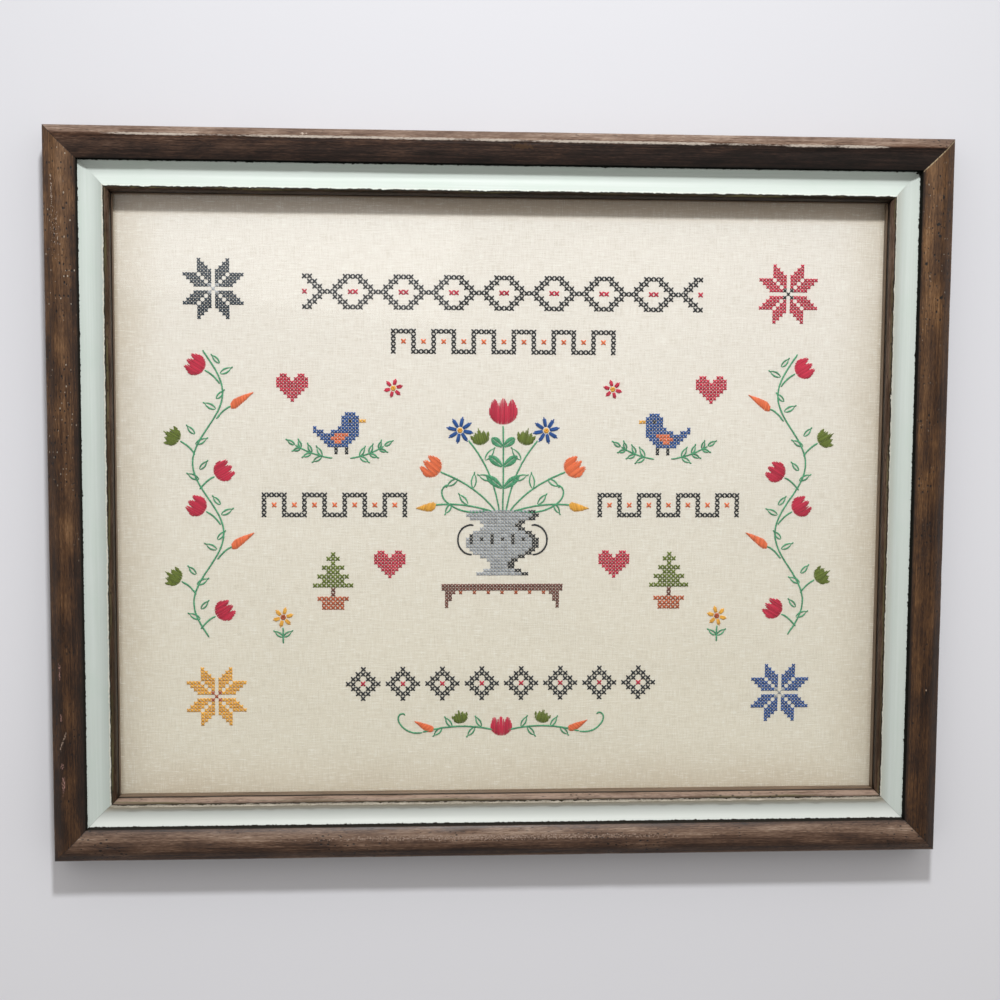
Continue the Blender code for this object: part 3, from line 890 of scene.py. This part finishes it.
class Needlework:
    """Strands gathered by thread, drawn in a frame that can be moved, turned and mirrored."""

    def __init__(self, seed):
        self.dice = random.Random(seed)
        self.strands = {}
        self.at((0.0, 0.0))

    def at(self, centre, degrees=0.0, flip=1):
        """Draw the next stitches about centre, turned by degrees and, with flip -1, mirrored."""
        self.centre = centre
        self.cos, self.sin = math.cos(math.radians(degrees)), math.sin(math.radians(degrees))
        self.flip = flip
        return self

    def placed(self, point):
        """A point of the present frame on the cloth, where no needle falls quite true."""
        x, y = point
        shake = self.dice.gauss(0, NEEDLE_SHAKE), self.dice.gauss(0, NEEDLE_SHAKE)
        turned = (x * self.cos - y * self.sin) * self.flip, x * self.sin + y * self.cos
        return self.centre[0] + turned[0] + shake[0], self.centre[1] + turned[1] + shake[1]

    def strand(self, thread, start, end, width, rise=0.0, over=0.0, bow=0.0):
        """One strand: rise arches it, over lifts its middle across another, bow bends it sideways."""
        tone = self.dice.uniform(-1, 1)
        row = (*self.placed(start), *self.placed(end), width, rise, over, bow * self.flip, tone)
        self.strands.setdefault(thread, []).append(row)

    def cross(self, thread, x, y, pitch, width):
        """A cross stitch in the square whose middle is at x, y."""
        reach = pitch * 0.49
        self.strand(thread, (x - reach, y - reach), (x + reach, y + reach), width)
        self.strand(thread, (x - reach, y + reach), (x + reach, y - reach), width, over=CROSSING)

    def chart(self, rows, palette, centre, pitch, width):
        """Crosses from rows of letters; palette gives each letter its thread."""
        middle = (len(rows[0]) - 1) / 2, (len(rows) - 1) / 2
        for down, row in enumerate(rows):
            for over, letter in enumerate(row):
                if letter in palette:
                    x = centre[0] + (over - middle[0]) * pitch
                    y = centre[1] - (down - middle[1]) * pitch
                    self.cross(palette[letter], x, y, pitch, width)

    def star(self, thread, core, petal, pitch, width):
        """A traditional star of eight slanted petals round a small core."""
        for i in range(1, 2 * petal + 1):
            for j in range(1, 2 * petal + 1):
                low, gap = min(i, j), abs(i - j)
                if low <= petal and 1 <= gap <= petal:
                    for x, y in ((i, j), (-i, j), (i, -j), (-i, -j)):
                        self.cross(thread, x * pitch, y * pitch, pitch, width)
        for x, y in ((0, 0), (1, 1), (-1, 1), (1, -1), (-1, -1)):
            self.cross(core, x * pitch, y * pitch, pitch, width)

    def stem(self, thread, points, width=STEM_THREAD):
        """Stem stitch, each stitch starting halfway along the one before it."""
        points = np.asarray(points, dtype=float)
        along = arc_lengths(points)
        count = max(2, int(round(along[-1] / (STEM_STITCH / 2))))
        stops = np.linspace(0, along[-1], count + 1)
        places = np.stack([np.interp(stops, along, points[:, axis]) for axis in (0, 1)], axis=1)
        for i in range(count - 1):
            heading = places[i + 2] - places[i]
            side = np.array((-heading[1], heading[0])) / np.linalg.norm(heading)
            bow = float(np.dot(places[i + 1] - (places[i] + places[i + 2]) / 2, side))
            lean = side * width * 0.35
            self.strand(thread, places[i] - lean, places[i + 2] + lean, width, rise=0.06, bow=bow)

    def walk(self, start, heading, length, turn, steps=48, hook=0.0):
        """Points along a path that turns as it goes, and tightens into a hook at its end."""
        points, spot = [start], np.array(start, dtype=float)
        for i in range(steps):
            t = i / steps
            angle = math.radians(heading + turn * (t + hook * max(0.0, t - 0.6) ** 2))
            spot = spot + np.array((math.cos(angle), math.sin(angle))) * length / steps
            points.append(tuple(spot))
        return points

    def tendril(self, thread, start, heading, length, turn):
        """A stem that curves round and ends in a hook."""
        self.stem(thread, self.walk(start, heading, length, turn, hook=8.0))

    def loop_leaf(self, thread, base, heading, length, width=LEAF_THREAD):
        """A lazy daisy loop with its small tie at the tip."""
        along = np.array((math.cos(math.radians(heading)), math.sin(math.radians(heading))))
        base = np.array(base, dtype=float)
        tip = base + along * length
        for side in (-1, 1):
            self.strand(thread, base, tip, width, rise=0.12, bow=side * length * 0.17)
        self.strand(thread, tip - along * 0.5, tip + along * 1.3, width * 0.9, rise=0.2)

    def full_leaf(self, thread, base, heading, length, half_width):
        """A leaf of slanting satin stitches on either side of its vein."""
        direction = math.radians(heading)
        along = np.array((math.cos(direction), math.sin(direction)))
        side = np.array((-along[1], along[0]))
        base = np.array(base, dtype=float)
        count = int(length / SATIN_PITCH)
        for i in range(1, count):
            t = i / count
            reach = half_width * math.sin(math.pi * t ** 0.8) + 0.3
            vein = base + along * length * t
            for hand in (-1, 1):
                edge = vein + side * hand * reach + along * reach * 0.7
                self.strand(thread, vein, edge, SATIN_THREAD * 0.9, rise=0.10)

    def satin(self, thread, low, high, half_width):
        """Upright satin stitches from low to high, both functions of the share across the shape."""
        count = int(2 * half_width / SATIN_PITCH)
        for i in range(count + 1):
            share = -1 + 2 * i / count
            x = share * half_width
            bottom, top = low(share), high(share)
            if top - bottom > 1.0:
                self.strand(thread, (x, bottom), (x + self.dice.gauss(0, 0.12), top), SATIN_THREAD,
                            rise=0.10 + 0.02 * min(top - bottom, 10))

    def tulip(self, thread, size=13.0):
        """A cupped flower with three points, from its base at the frame's middle."""
        def high(share):
            return size * (0.74 + 0.26 * abs(math.cos(1.5 * math.pi * share)) - 0.10 * share * share)

        def low(share):
            return size * 0.42 * (1 - math.sqrt(max(0.0, 1 - share * share * 0.96)))

        self.satin(thread, low, high, size * 0.48)

    def bud(self, thread, size=11.0):
        """A round bud with a pointed crown."""
        def high(share):
            crown = 0.16 * max(0.0, 1 - abs(share) * 3.5)
            return size * (0.74 + crown + 0.07 * math.cos(4 * math.pi * share) - 0.16 * share * share)

        def low(share):
            return size * 0.40 * (1 - math.sqrt(max(0.0, 1 - share * share)))

        self.satin(thread, low, high, size * 0.46)

    def spike(self, thread, length=15.0, half_width=2.7):
        """A long pointed bud of slanting stitches across it."""
        count = int(length / SATIN_PITCH)
        for i in range(count):
            t = i / (count - 1)
            reach = half_width * (1 - t ** 1.7) * min(1.0, 0.55 + 3 * t) + 0.25
            y = t * length
            self.strand(thread, (-reach, y - reach * 0.4), (reach, y + reach * 0.4), SATIN_THREAD, rise=0.22)

    def daisy(self, thread, centre_thread, radius=7.0, petals=7):
        """Petals of three straight stitches each round a centre of small crosses."""
        for i in range(petals):
            middle = 2 * math.pi * (i + 0.25) / petals
            for lean in (-1, 0, 1):
                angle = middle + lean * 0.8 / petals
                outer = radius * (1 - 0.13 * abs(lean))
                start = (1.9 * math.cos(middle + lean * 0.25), 1.9 * math.sin(middle + lean * 0.25))
                end = (outer * math.cos(angle), outer * math.sin(angle))
                self.strand(thread, start, end, SATIN_THREAD * 1.15, rise=0.18)
        for i in range(6):
            angle = math.pi * i / 3
            self.cross(centre_thread, 0.9 * math.cos(angle), 0.9 * math.sin(angle), 1.3, FINE_THREAD)

    def sprig(self, thread, start, heading, length, pairs=3, bend=25.0):
        """A curved stem with pairs of loop leaves and one at its tip."""
        points = self.walk(start, heading, length, bend)
        self.stem(thread, points, STEM_THREAD * 0.9)
        for pair in range(pairs):
            share = (pair + 1) / (pairs + 0.6)
            place = points[int(share * (len(points) - 1))]
            course = heading + bend * share
            for hand in (-1, 1):
                self.loop_leaf(thread, place, course + hand * 46, 6.2 - 0.7 * pair)
        self.loop_leaf(thread, points[-1], heading + bend, 5.5)


HEART = (
    ".XX...XX.",
    "XXXX.XXXX",
    "XXXXXXXXX",
    "XXXXXXXXX",
    ".XXXXXXX.",
    "..XXXXX..",
    "...XXX...",
    "....X....",
)
TREE = (
    "....G....",
    "...GGG...",
    "....G....",
    "..GGGGG..",
    "...GGG...",
    ".GGGGGGG.",
    "..GGGGG..",
    "GGGGGGGGG",
    "....B....",
    "....B....",
    ".RRRRRRR.",
    "..RRRRR..",
    "..RRRRR..",
)
BIRD = (
    ".........BBB...",
    "........BBBBB..",
    "........BBKBBYY",
    "........BBBBB..",
    "B......BBBBBB..",
    "BBB..BBBBBBBB..",
    ".BBBBBWWWWBBB..",
    "..BBBWWWWBBB...",
    "...BBBWWBBB....",
    "....BBBBBB.....",
    "......K..K.....",
    "......K..K.....",
)
LATTICE_BAND = (
    "XX......XX",
    ".XX....XX.",
    "..XX..XX..",
    "R..XXXX..R",
    "..XX..XX..",
    ".XX....XX.",
    "XX......XX",
)
DIAMOND_BAND = (
    "...X....",
    "..XXX...",
    ".XX.XX..",
    "XX.R.XX.",
    ".XX.XX..",
    "..XXX...",
    "...X....",
)
NARROW_BAND = (
    "XXXXX...",
    "X...X...",
    "X.O.X.O.",
    "X...X...",
    "X...XXXX",
)
# Half the width of each row of the urn, in crosses, from its rim down
URN_ROWS = (9, 10, 9, 6, 5, 6, 8, 9, 10, 10, 10, 9, 8, 6, 4, 3, 3, 5, 7)


def repeated(rows, times, cut=0):
    """A chart repeated side by side, less its last columns."""
    return tuple((row * times)[:len(row) * times - cut] for row in rows)


def stitch_bands(work):
    """The charcoal borders across the top and bottom, and the narrow ones between."""
    charcoal = {"X": "charcoal", "R": "crimson", "O": "coral"}
    work.at((0, 0))
    work.chart(repeated(LATTICE_BAND, 8), charcoal, (0, 123), BOLD_PITCH, BOLD_THREAD)
    work.chart(repeated(DIAMOND_BAND, 8, 1), charcoal, (0, -113), BOLD_PITCH, BOLD_THREAD)
    work.chart(repeated(NARROW_BAND, 6, 3), charcoal, (0, 94), BOLD_PITCH, BOLD_THREAD)
    for side in (-1, 1):
        work.chart(repeated(NARROW_BAND, 4, 3), charcoal, (side * 101, -4), BOLD_PITCH, BOLD_THREAD)


def stitch_stars(work):
    """A star in each corner, of its own colour."""
    corners = (
        (-172, 124, "navy", "grey"), (172, 124, "crimson", "charcoal"),
        (-172, -120, "gold", "rust"), (172, -120, "royal_blue", "grey"),
    )
    for x, y, petals, core in corners:
        work.at((x, y))
        work.star(petals, core, 4, FINE_PITCH, FINE_THREAD)


def stitch_urn(work):
    """A grey urn with a shaded side, charcoal ornament and handles, on a brown stand."""
    work.at((0, -8))
    for down, reach in enumerate(URN_ROWS):
        y = -down * FINE_PITCH
        for column in range(-reach, reach + 1):
            shaded = column > reach - 2
            ornament = down == 8 and column % 3 == 0 or down in (7, 9) and column % 6 == 3
            thread = "charcoal" if shaded or ornament else "grey"
            work.cross(thread, column * FINE_PITCH, y, FINE_PITCH, FINE_THREAD)
    for flip in (-1, 1):
        work.at((0, -8), flip=flip)
        turn = [(19 + 8 * math.sin(a), -17 + 9 * math.cos(a)) for a in np.linspace(-0.2, math.pi + 0.1, 24)]
        work.stem("charcoal", turn, BOLD_THREAD)
    work.at((0, -53))
    for column in range(-17, 18):
        for row in (0, 1):
            work.cross("brown", column * FINE_PITCH, -row * FINE_PITCH, FINE_PITCH, FINE_THREAD)
    for side in (-1, 1):
        for column in range(3):
            for row in range(2, 7 - column * 2):
                x = side * (16 - column) * FINE_PITCH
                work.cross("brown", x, -row * FINE_PITCH, FINE_PITCH, FINE_THREAD)
    for column in range(-12, 13, 4):
        work.cross("rust", column * FINE_PITCH, -2 * FINE_PITCH, FINE_PITCH, FINE_THREAD)


def curve(start, control, end, count=20):
    """Points on a parabola from start to end."""
    t = np.linspace(0, 1, count)[:, None]
    start, control, end = (np.array(corner, dtype=float) for corner in (start, control, end))
    return (1 - t) ** 2 * start + 2 * t * (1 - t) * control + t * t * end


# The base, heading and length of each loop leaf on the bouquet's right side
BOUQUET_LEAVES = (
    ((6, 17), 20, 9), ((11, 29), 128, 9), ((18, 12), 95, 9), ((27, 18), -35, 8), ((21, 2.2), 50, 8),
    ((31, 3), -60, 7),
)


def stitch_bouquet(work):
    """Flowers above the urn, alike on both sides of a tall middle one."""
    work.at((0, -6))
    work.stem("leaf_green", curve((0, -2), (0.5, 20), (0, 50)))
    for height, size in ((12, 13), (25, 11), (37, 9)):
        for heading in (38, 142):
            work.full_leaf("leaf_green", (0, height), heading, size, 2.3)
    work.at((0, 44))
    work.tulip("crimson", 17)
    for flip in (-1, 1):
        work.at((0, -6), flip=flip)
        work.stem("leaf_green", curve((2, -2), (6, 24), (21, 41)))
        work.stem("leaf_green", curve((4, -2), (16, 14), (38, 22)))
        work.stem("leaf_green", curve((6, -2), (24, 4), (41, 2)))
        for base, heading, length in BOUQUET_LEAVES:
            work.loop_leaf("leaf_green", base, heading, length)
        work.at((flip * 26, 41), flip=flip)
        work.daisy("royal_blue", "gold", 8.5, 8)
        work.at((flip * 38, 15), -52, flip)
        work.tulip("coral", 13)
        work.at((flip * 41, -5), -95, flip)
        work.spike("gold", 11, 3.0)
        work.at((flip * 12.5, 32), -14, flip)
        work.bud("olive", 11.5)
        work.at((0, -6), flip=flip)
        work.tendril("leaf_green", (9, -1), -18, 40, 90)


def stitch_sides(work):
    """A bird above the narrow band on either side, and a tree and hearts below it."""
    bird = {"B": "royal_blue", "K": "charcoal", "Y": "gold", "W": "coral"}
    tree = {"G": "olive", "B": "brown", "R": "rust"}
    for flip in (-1, 1):
        work.at((-flip * 98, 39), flip=flip)
        work.chart(BIRD, bird, (0, 0), FINE_PITCH, FINE_THREAD)
        work.at((-flip * 98, 24), flip=flip)
        work.sprig("leaf_green", (6, 0), 8, 22, 3, 24)
        work.sprig("leaf_green", (-4, 0), 172, 24, 3, -24)
        work.at((-flip * 126, 66), flip=flip)
        work.chart(HEART, {"X": "crimson"}, (0, 0), FINE_PITCH, FINE_THREAD)
        work.at((-flip * 102, -50), flip=flip)
        work.chart(TREE, tree, (0, 0), 2.7, BOLD_THREAD)
        work.at((-flip * 68, -40), flip=flip)
        work.chart(HEART, {"X": "crimson"}, (0, 0), FINE_PITCH, FINE_THREAD)
        work.at((-flip * 132, -72), flip=flip)
        work.daisy("gold", "rust", 6.5, 6)
        work.stem("leaf_green", [(0, -6), (0, -16)])
        work.loop_leaf("leaf_green", (0, -12), 35, 6)
        work.loop_leaf("leaf_green", (0, -12), 145, 6)
        work.at((-flip * 66, 66), flip=flip)
        work.daisy("crimson", "gold", 6.0, 6)


def stitch_side_vines(work):
    """A running vine up each side, with tulips, buds and spikes by turns."""
    middle, reach, wave = 176, 9.0, 84.0
    for flip in (-1, 1):
        work.at((0, 0), flip=flip)
        ys = np.linspace(-84, 88, 90)
        xs = middle + reach * np.sin(2 * math.pi * ys / wave)
        work.stem("leaf_green", np.stack([xs, ys], axis=1))
        for step, y in enumerate((-76, -55, -34, -13, 8, 29, 50, 71)):
            x = middle + reach * math.sin(2 * math.pi * y / wave)
            side = 1 if step % 2 else -1
            work.at((0, 0), flip=flip)
            tip = (x + side * 9, y + 5)
            work.stem("leaf_green", curve((x, y - 3), (x + side * 4, y + 3), tip, 8))
            work.loop_leaf("leaf_green", (x, y + 3), 90 + side * 62, 7.5)
            work.loop_leaf("leaf_green", (x, y + 9), 90 - side * 42, 6.5)
            work.at((flip * tip[0], tip[1]), -side * 58, flip)
            if step % 4 == 1:
                work.bud("olive", 12)
            elif step % 4 == 2:
                work.spike("coral", 15, 2.8)
            else:
                work.tulip("crimson", 12.5)


def stitch_lower_spray(work):
    """A low spray under the bottom border."""
    for flip in (-1, 1):
        work.at((0, -143), flip=flip)
        work.stem("leaf_green", curve((0, 0), (24, 7), (48, 0)))
        work.tendril("leaf_green", (48, 0), -14, 26, 120)
        for x, heading in ((12, 60), (16, -50), (30, 55), (36, -45)):
            work.loop_leaf("leaf_green", (x, 3), heading, 7)
        work.at((flip * 24, -138), -15, flip)
        work.bud("olive", 10)
        work.at((flip * 42, -142), -62, flip)
        work.spike("coral", 12, 2.5)
    work.at((0, -146))
    work.tulip("crimson", 13)


def thread_material(thread, colour):
    """Plied cotton with a soft sheen, a little lighter or darker from strand to strand."""
    material, add = new_finish(thread + "_cotton")
    surface = add("ShaderNodeUVMap", uv_map="surface").outputs[0]
    parts = add("ShaderNodeSeparateXYZ", {0: surface})
    tone, = point_values(add, "tone")
    turns = maths(add, "MULTIPLY_ADD", parts.outputs[0], 2.2, product(add, parts.outputs[1], 3.0))
    ply = maths(add, "SINE", product(add, turns, 2 * math.pi))
    fuzz = noise(add, scaled(add, surface, (3, 9, 1)), 2.0, 3.0, 0.6)
    lighter = tuple(min(0.95, channel * 1.22 + 0.010) for channel in colour)
    darker = tuple(channel * 0.74 for channel in colour)
    shade = maths(add, "MULTIPLY_ADD", tone, 0.28, maths(add, "MULTIPLY_ADD", ply, 0.16, 0.5))
    shade = varied(add, fuzz, 0.5, shade)
    cotton = blend_colours(add, stretch(add, shade, 0.1, 0.9), darker, lighter)
    return finish(add, material, {"Base Color": cotton}, ply, 0.5, 0.06 * MM,
                  Roughness=0.55, Sheen_Weight=0.25, Sheen_Roughness=0.4, Specular_IOR_Level=0.35)


def strand_piece(thread, rows):
    """All the strands of one thread as one piece, each a closed tube that dives into the cloth."""
    table = np.array(rows)
    start, end = table[:, 0:2], table[:, 2:4]
    width, rise, over, bow, tone = (table[:, column][:, None] for column in range(4, 9))
    gap = end - start
    length = np.linalg.norm(gap, axis=1)[:, None]
    ahead = gap / length
    side = np.stack([-ahead[:, 1], ahead[:, 0]], axis=1)

    t = np.array(STRAND_RINGS)[None, :]
    level = 1 - np.abs(2 * t - 1) ** 5
    hump = 4 * t * (1 - t)
    middle = start[:, None, :] + gap[:, None, :] * t[..., None] + side[:, None, :] * (bow * hump)[..., None]
    thick = width * FLATNESS
    height = -DIVE + (DIVE + thick) * level + rise * hump + over * hill(t, 0.5, 0.2)
    taper = 0.45 + 0.55 * np.sqrt(hump)

    angle = 2 * math.pi * np.arange(STRAND_SIDES)[None, None, :] / STRAND_SIDES
    lobes = 1 + 0.08 * np.cos(2 * angle - 5 * (t * length)[..., None])
    across = (width * taper)[..., None] * np.cos(angle) * lobes
    upward = (thick * taper)[..., None] * np.sin(angle) * lobes
    plan = middle[:, :, None, :] + side[:, None, None, :] * across[..., None]
    x, y = plan[..., 0] * MM, plan[..., 1] * MM
    z = LINEN_FACE + linen_ripple(x, y) + (height[..., None] + upward) * MM
    z = np.minimum(z, PANE_UNDERSIDE - UNDER_PANE)
    points = np.stack([x, y, z], axis=-1).reshape(-1, 3)

    count, rings = len(table), len(STRAND_RINGS)
    index = np.arange(count * rings * STRAND_SIDES).reshape(count, rings, STRAND_SIDES)
    turned = np.roll(index, -1, axis=2)
    quads = np.stack([index[:, :-1], turned[:, :-1], turned[:, 1:], index[:, 1:]], axis=-1).reshape(-1, 4)
    caps = np.concatenate([index[:, 0, ::-1], index[:, -1]])

    along = np.broadcast_to((t * length)[..., None], index.shape)
    around = np.broadcast_to(np.arange(STRAND_SIDES) / STRAND_SIDES, index.shape)
    around_next = around + 1 / STRAND_SIDES
    corner_u = np.stack([along[:, :-1], along[:, :-1], along[:, 1:], along[:, 1:]], axis=-1)
    corner_v = np.stack([around[:, :-1], around_next[:, :-1], around_next[:, 1:], around[:, 1:]], axis=-1)
    quad_uv = np.stack([corner_u, corner_v], axis=-1).reshape(-1, 2)
    cap_uv = np.zeros((caps.size, 2))
    return new_mesh_object(
        thread + "_stitches", points, [quads, caps], uv=np.concatenate([quad_uv, cap_uv]),
        values={"tone": np.broadcast_to(tone[..., None], index.shape)},
    )


def make_stitches():
    """Draw the design, then make one piece of each thread."""
    work = Needlework(seed=11)
    stitch_bands(work)
    stitch_stars(work)
    stitch_urn(work)
    stitch_bouquet(work)
    stitch_sides(work)
    stitch_side_vines(work)
    stitch_lower_spray(work)
    pieces = []
    for thread, rows in work.strands.items():
        piece = strand_piece(thread, rows)
        piece.data.materials.append(thread_material(thread, THREADS[thread]))
        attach(piece, BODY)
        pieces.append(piece)
    return pieces


# Floor, lights and camera

FLOOR_SIZE = 12.0
FLOOR_LEVEL = -0.3 * MM
FLOOR_FAR, FLOOR_NEAR = (0.57, 0.57, 0.605), (0.70, 0.70, 0.74)
FLOOR_SHADE = (0.38, -0.15)

# Each lamp's strength in watts, place, turn in degrees and size, and the colours of the lamp and the sky
KEY_WATTS, KEY_PLACE, KEY_TURN, KEY_SIZE = 14.0, (0.0, 0.93, 0.93), (-45, 0, 0), 0.12
WINDOW_WATTS, WINDOW_PLACE, WINDOW_TURN, WINDOW_SIZE = 0.30, (-0.23, 0.25, 1.5), (0, 0, -6), (0.52, 0.17)
KEY_COLOUR, SKY_COLOUR = (0.985, 1.0, 1.0), (1.0, 0.97, 0.93, 1)


def make_floor():
    """A plain pale floor, a little paler near the viewer."""
    bpy.ops.mesh.primitive_plane_add(size=FLOOR_SIZE, location=(0, 0, FLOOR_LEVEL))
    floor = bpy.context.object
    floor.name = "floor"
    material, add = new_finish("pale_floor")
    shader = material.node_tree.nodes["Principled BSDF"]
    place = add("ShaderNodeSeparateXYZ", {0: add("ShaderNodeNewGeometry").outputs["Position"]})
    colour = blend_colours(add, stretch(add, place.outputs[1], *FLOOR_SHADE), FLOOR_FAR, FLOOR_NEAR)
    material.node_tree.links.new(colour, shader.inputs["Base Color"])
    shader.inputs["Roughness"].default_value = 0.9
    floor.data.materials.append(material)


def add_lamp(name, shape, watts, place, turn_degrees):
    """An area lamp in the scene."""
    lamp = bpy.data.lights.new(name, "AREA")
    lamp.shape = shape
    lamp.energy = watts
    holder = bpy.data.objects.new(name, lamp)
    holder.location = place
    holder.rotation_euler = [math.radians(angle) for angle in turn_degrees]
    bpy.context.scene.collection.objects.link(holder)
    return lamp


def make_lights():
    """A soft lamp beyond the picture's top, a pale window for the glass, and a studio sky."""
    key = add_lamp("key", "DISK", KEY_WATTS, KEY_PLACE, KEY_TURN)
    key.size = KEY_SIZE
    key.color = KEY_COLOUR
    window = add_lamp("window", "RECTANGLE", WINDOW_WATTS, WINDOW_PLACE, WINDOW_TURN)
    window.size, window.size_y = WINDOW_SIZE

    world = bpy.data.worlds.new("studio")
    world.use_nodes = True
    background = world.node_tree.nodes["Background"]
    background.inputs["Color"].default_value = SKY_COLOUR
    add = node_adder(world.node_tree)
    direction = add("ShaderNodeTexCoord").outputs["Generated"]
    towards = add("ShaderNodeSeparateXYZ", {0: direction})
    # The sky is brighter beyond the picture's top, and dimmer straight overhead
    bright_side = add("ShaderNodeMapRange", {"Value": towards.outputs[1], "From Min": -0.6, "From Max": 0.8,
                                             "To Min": 0.30, "To Max": 1.02})
    overhead = add("ShaderNodeMapRange", {"Value": towards.outputs[2], "From Min": 0.86, "From Max": 0.97,
                                          "To Min": 1.0, "To Max": 0.35})
    strength = product(add, bright_side.outputs[0], overhead.outputs[0])
    world.node_tree.links.new(strength, background.inputs["Strength"])
    bpy.context.scene.world = world
    bpy.context.scene.view_settings.view_transform = "Standard"


def make_camera():
    """The photograph's camera."""
    camera = bpy.data.cameras.new("camera")
    camera.lens = CAMERA_LENS_MM
    camera.sensor_width = CAMERA_SENSOR_MM
    camera_object = bpy.data.objects.new("camera", camera)
    camera_object.location = CAMERA_PLACE
    camera_object.rotation_euler = Euler([math.radians(angle) for angle in CAMERA_TURN_DEGREES])
    bpy.context.scene.collection.objects.link(camera_object)
    bpy.context.scene.camera = camera_object


make_camera()
make_floor()
make_lights()
make_rails()
finish_board()
finish_pane()
ground = make_linen()
stitches = make_stitches()
